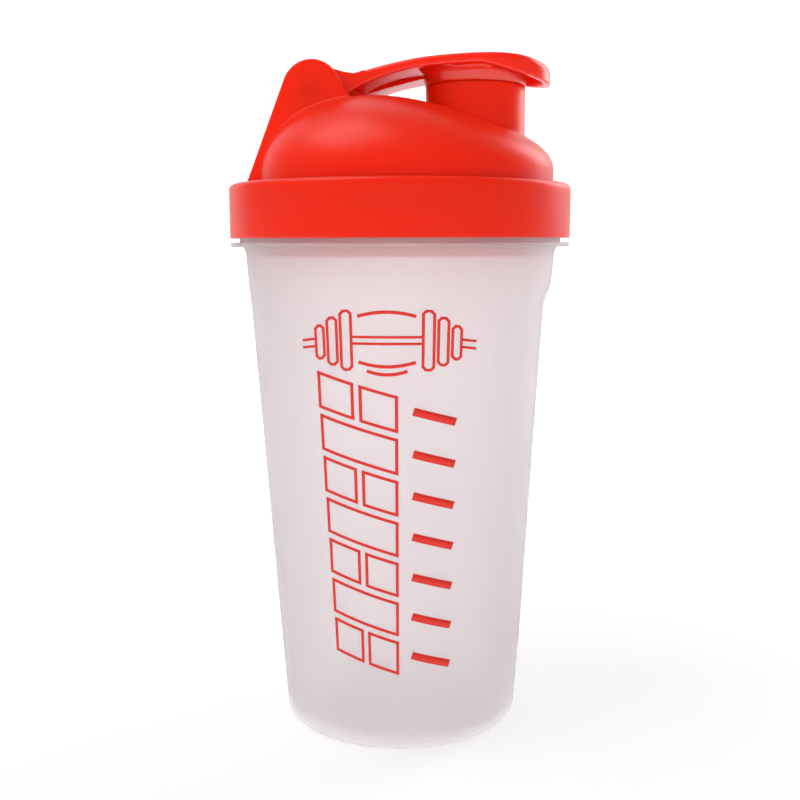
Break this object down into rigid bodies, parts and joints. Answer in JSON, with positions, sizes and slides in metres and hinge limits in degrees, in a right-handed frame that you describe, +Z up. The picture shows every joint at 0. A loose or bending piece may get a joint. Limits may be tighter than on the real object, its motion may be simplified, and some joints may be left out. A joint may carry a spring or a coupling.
{
  "type": "shaker bottle",
  "caption": "Frosted tapered shaker cup with a red screw lid, drinking spout, flip cap and mixing strainer.",
  "frame": {"origin": "centre of the circle that the cup stands on, at table height", "axes": "+Z up along the bottle's axis, +X towards the spout, +Y to the left of someone who faces along +X"},
  "size_m": [0.103, 0.103, 0.2007],
  "materials": {
    "frosted_plastic": "frosted translucent polypropylene",
    "strainer_plastic": "satin moulded polypropylene",
    "lid_plastic": "satin moulded polypropylene",
    "cap_plastic": "satin top, polished underside",
    "printed_ink": "screen-printed ink"
  },
  "bodies": {
    "cup": {"cup": "frosted_plastic"},
    "strainer": {"strainer": "strainer_plastic"},
    "lid": {"screw_lid": "lid_plastic"},
    "cap": {"flip_cap": "cap_plastic"}
  },
  "joints": [
    {"name": "lid_lift", "type": "slide", "parent": "cup", "child": "strainer", "axis": [0, 0, 1], "range_m": [0, 0.012]},
    {"name": "lid_turn", "type": "hinge", "parent": "strainer", "child": "lid", "pos_m": [0, 0, 0.165], "axis": [0, 0, 1], "range_deg": [0, 720]},
    {"name": "cap_flip", "type": "hinge", "parent": "lid", "child": "cap", "pos_m": [-0.0226, 0, 0.1911], "axis": [0, -1, 0], "range_deg": [0, 150]}
  ],
  "couplings": [
    {"joint": "lid_lift", "follows": "lid_turn", "m_per_rad": 0.00095492}
  ]
}
